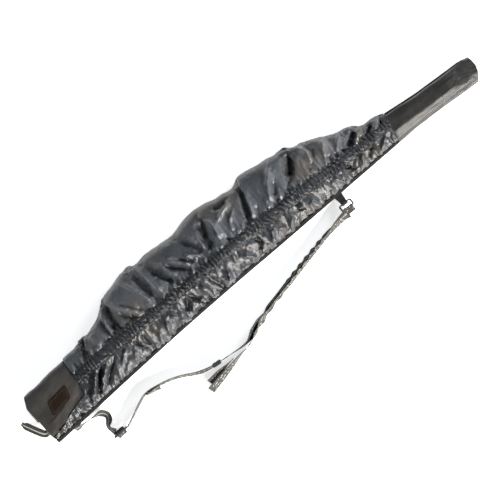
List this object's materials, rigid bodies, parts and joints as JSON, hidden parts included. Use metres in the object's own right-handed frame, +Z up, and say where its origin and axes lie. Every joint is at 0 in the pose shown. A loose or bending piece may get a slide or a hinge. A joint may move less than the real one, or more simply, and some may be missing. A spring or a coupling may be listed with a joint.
{
  "type": "elasticated slip cover",
  "caption": "Long soft slip cover with a closed butt pocket, shirred elastic waist, elastic-edged mouth, narrow closed sleeve and a webbing carry strap.",
  "frame": {"origin": "under the middle of the cover's own box, on the surface that it lies on", "axes": "+X along the cover from the butt to the muzzle, +Y from the mouth to the crown, +Z up out of the cover's right side"},
  "size_m": [1.2978, 0.333, 0.0779],
  "materials": {
    "body_nylon": "satin",
    "pocket_nylon": "satin",
    "sleeve_nylon": "satin",
    "shirred_nylon": "satin",
    "seam_trim": "matte",
    "black_binding": "matte",
    "elastic_tape": "matte",
    "striped_webbing": "matte",
    "strap_webbing": "matte",
    "patch_leather": "matte",
    "buckle_plastic": "matte",
    "ring_steel": "satin"
  },
  "bodies": {
    "cover": {"butt_pocket_right": "pocket_nylon", "butt_pocket_left": "pocket_nylon", "butt_end_panel": "pocket_nylon", "butt_seam_piping_right": "seam_trim", "butt_seam_piping_left": "seam_trim", "upper_cover_right": "body_nylon", "upper_cover_left": "body_nylon", "lower_cover_right": "body_nylon", "lower_cover_left": "body_nylon", "waist_casing_right": "shirred_nylon", "waist_casing_left": "shirred_nylon", "waist_elastic_right": "elastic_tape", "waist_elastic_left": "elastic_tape", "mouth_binding_right": "black_binding", "mouth_binding_left": "black_binding", "mouth_elastic_right": "elastic_tape", "mouth_elastic_left": "elastic_tape", "mouth_tab_rear": "black_binding", "mouth_tab_front": "black_binding", "sleeve_seam_piping_right": "seam_trim", "sleeve_seam_piping_left": "seam_trim", "muzzle_sleeve_right": "sleeve_nylon", "muzzle_sleeve_left": "sleeve_nylon", "muzzle_end_cap": "sleeve_nylon", "emblem_patch": "patch_leather", "pull_loop_root": "striped_webbing", "strap_root_tab": "striped_webbing", "strap_root": "striped_webbing", "front_anchor_tab": "strap_webbing"},
    "strap": {"strap_rear": "striped_webbing", "rear_buckle": "buckle_plastic", "strap_rear_tail": "strap_webbing", "strap_main": "strap_webbing", "strap_return": "strap_webbing", "strap_tail": "strap_webbing", "ring_loop": "strap_webbing", "front_ring": "ring_steel"},
    "adjuster": {"adjuster": "buckle_plastic"},
    "pull_loop": {"pull_loop": "striped_webbing"}
  },
  "joints": [
    {"name": "strap_swing", "type": "hinge", "parent": "cover", "child": "strap", "pos_m": [-0.49677, -0.097, 0.0175], "axis": [1, 0, 0], "range_deg": [-100, 100]},
    {"name": "adjuster_slide", "type": "slide", "parent": "strap", "child": "adjuster", "axis": [0.9912, -0.1322, 0], "range_m": [0, 0.04]},
    {"name": "pull_loop_flap", "type": "hinge", "parent": "cover", "child": "pull_loop", "pos_m": [-0.61307, -0.051, 0.0175], "axis": [0, 1, 0], "range_deg": [-70, 70], "stiffness_Nm_per_rad": 0.02}
  ]
}
